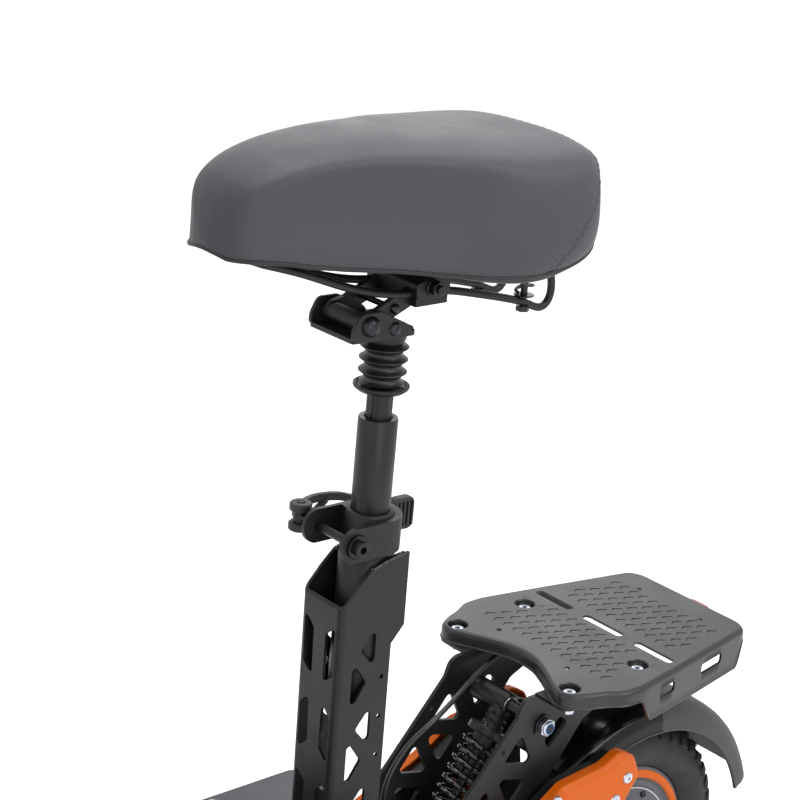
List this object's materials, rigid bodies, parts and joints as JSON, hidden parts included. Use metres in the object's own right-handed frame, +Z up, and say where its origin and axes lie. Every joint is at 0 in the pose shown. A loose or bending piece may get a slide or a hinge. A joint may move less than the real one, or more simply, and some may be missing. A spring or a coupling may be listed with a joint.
{
  "type": "folding electric scooter",
  "caption": "Folding electric scooter with a sprung saddle on a height-adjustable post, a luggage rack, rear coil shock, folding stem and centre stand.",
  "frame": {"origin": "on the ground, in the middle of the scooter's outline seen from above", "axes": "+X forward along the scooter, +Y to the rider's left, +Z up"},
  "size_m": [1.309, 0.578, 1.165],
  "materials": {
    "black_powder_coat": "matte black powder coat, finely grained",
    "grey_paint": "satin grey paint",
    "hub_grey": "satin grey painted alloy",
    "stem_black": "matte black painted alloy",
    "orange_plastic": "orange, half gloss",
    "rubber": "matte black",
    "tyre": "matte black",
    "black_plastic": "matte black",
    "zinc_steel": "zinc plated",
    "alloy": "satin grey alloy",
    "saddle_cover": "fine grained dark grey vinyl",
    "red_lens": "pale red lens",
    "clear_lens": "clear lens in a lamp"
  },
  "bodies": {
    "frame": {"deck_tub": "grey_paint", "footboard": "grey_paint", "battery_pack": "black_plastic", "motor_controller": "alloy", "neck_frame": "black_powder_coat", "headset_lower": "alloy", "headlight": "clear_lens", "seat_column": "black_powder_coat", "receiver_tube": "black_powder_coat", "clamp_band": "black_powder_coat", "clamp_bolt": "zinc_steel", "frame_plate_left": "black_powder_coat", "frame_plate_right": "black_powder_coat", "luggage_rack": "grey_paint", "shock_bolt": "zinc_steel", "tail_light": "red_lens", "pivot_bolt": "zinc_steel", "motor_cable": "rubber"},
    "cam_lever": {"cam_lever": "black_plastic"},
    "centre_stand": {"centre_stand": "black_powder_coat"},
    "swingarm": {"swingarm": "black_powder_coat", "arm_cover_left": "orange_plastic", "arm_cover_right": "orange_plastic", "rear_axle": "zinc_steel", "rear_fender": "black_powder_coat", "brake_caliper": "alloy"},
    "rear_wheel": {"rear_hub": "hub_grey", "rear_tyre": "tyre", "brake_disc": "zinc_steel"},
    "shock_upper": {"shock_body": "black_powder_coat", "shock_spring": "black_powder_coat"},
    "shock_lower": {"shock_rod": "zinc_steel"},
    "seat_post": {"seat_post": "black_powder_coat", "post_core": "alloy"},
    "saddle_head": {"saddle_bracket": "black_powder_coat", "pivot_pin": "zinc_steel", "post_bellows": "rubber"},
    "saddle": {"saddle_cushion": "saddle_cover", "saddle_pan": "black_plastic", "saddle_rail": "black_powder_coat", "rail_clamp": "black_powder_coat", "saddle_spring_left": "zinc_steel", "saddle_spring_right": "zinc_steel"},
    "steering": {"fork_crown": "stem_black", "stem_base": "stem_black"},
    "fork_slide": {"fork_slider_left": "alloy", "fork_slider_right": "alloy", "front_axle": "zinc_steel", "front_fender": "black_plastic"},
    "front_wheel": {"front_hub": "hub_grey", "front_tyre": "tyre"},
    "stem": {"stem_tube": "stem_black", "handlebar": "stem_black", "grip_left": "rubber", "grip_right": "rubber", "display": "black_plastic"},
    "stem_latch": {"stem_latch": "orange_plastic"},
    "brake_lever_left": {"brake_lever_left": "alloy"},
    "brake_lever_right": {"brake_lever_right": "alloy"},
    "throttle": {"throttle": "black_plastic"}
  },
  "joints": [
    {"name": "cam_lever_pin", "type": "hinge", "parent": "frame", "child": "cam_lever", "pos_m": [-0.09218, -0.05, 0.58406], "axis": [-0.0163, 0, 0.9999], "range_deg": [0, 150]},
    {"name": "stand_pivot", "type": "hinge", "parent": "frame", "child": "centre_stand", "pos_m": [-0.08638, 0, 0.176], "axis": [0, 1, 0], "range_deg": [0, 72]},
    {"name": "swingarm_pivot", "type": "hinge", "parent": "frame", "child": "swingarm", "pos_m": [-0.17238, 0, 0.222], "axis": [0, 1, 0], "range_deg": [0, 7], "stiffness_Nm_per_rad": 800, "springref_deg": -4.3},
    {"name": "rear_wheel_spin", "type": "hinge", "parent": "swingarm", "child": "rear_wheel", "pos_m": [-0.47538, 0, 0.15], "axis": [0, 1, 0], "continuous": true},
    {"name": "shock_top_pivot", "type": "hinge", "parent": "frame", "child": "shock_upper", "pos_m": [-0.31438, 0, 0.363], "axis": [0, 1, 0], "range_deg": [-1.6, 0.1]},
    {"name": "shock_stroke", "type": "slide", "parent": "shock_upper", "child": "shock_lower", "axis": [-0.5435, 0, 0.8394], "range_m": [-0.0001, 0.0055], "deforming": ["shock_spring"]},
    {"name": "seat_height", "type": "slide", "parent": "frame", "child": "seat_post", "axis": [-0.0163, 0, 0.9999], "range_m": [-0.08, 0.04]},
    {"name": "saddle_suspension", "type": "slide", "parent": "seat_post", "child": "saddle_head", "axis": [-0.0163, 0, 0.9999], "range_m": [-0.012, 0], "stiffness_N_per_m": 20000, "springref_m": 0.006, "deforming": ["post_bellows"]},
    {"name": "saddle_tilt", "type": "hinge", "parent": "saddle_head", "child": "saddle", "pos_m": [-0.08938, 0, 0.778], "axis": [0, 1, 0], "range_deg": [-6, 6]},
    {"name": "steering_turn", "type": "hinge", "parent": "frame", "child": "steering", "pos_m": [0.45472, 0, 0.38476], "axis": [-0.2079, 0, 0.9781], "range_deg": [-40, 40]},
    {"name": "fork_travel", "type": "slide", "parent": "steering", "child": "fork_slide", "axis": [-0.2079, 0, 0.9781], "range_m": [0, 0.035], "stiffness_N_per_m": 8000, "springref_m": -0.022},
    {"name": "front_wheel_spin", "type": "hinge", "parent": "fork_slide", "child": "front_wheel", "pos_m": [0.50462, 0, 0.15], "axis": [0, 1, 0], "continuous": true},
    {"name": "stem_fold", "type": "hinge", "parent": "steering", "child": "stem", "pos_m": [0.44847, 0, 0.57767], "axis": [0, 1, 0], "range_deg": [0, 120]},
    {"name": "stem_latch_pin", "type": "hinge", "parent": "steering", "child": "stem_latch", "pos_m": [0.38528, 0, 0.54788], "axis": [0, -1, 0], "range_deg": [0, 100]},
    {"name": "brake_lever_left_pin", "type": "hinge", "parent": "stem", "child": "brake_lever_left", "pos_m": [0.32801, 0.142, 1.1348], "axis": [-0.2079, 0, 0.9781], "range_deg": [0, 15], "stiffness_Nm_per_rad": 4, "springref_deg": -2.86},
    {"name": "brake_lever_right_pin", "type": "hinge", "parent": "stem", "child": "brake_lever_right", "pos_m": [0.32801, -0.142, 1.1348], "axis": [0.2079, 0, -0.9781], "range_deg": [0, 15], "stiffness_Nm_per_rad": 4, "springref_deg": -2.86},
    {"name": "throttle_turn", "type": "hinge", "parent": "stem", "child": "throttle", "pos_m": [0.29671, 0, 1.12815], "axis": [0, 1, 0], "range_deg": [0, 40], "stiffness_Nm_per_rad": 0.3, "springref_deg": -17.19}
  ],
  "couplings": [
    {"joint": "shock_top_pivot", "follows": "swingarm_pivot", "ratio": -0.198},
    {"joint": "shock_stroke", "follows": "swingarm_pivot", "m_per_rad": 0.04055}
  ]
}
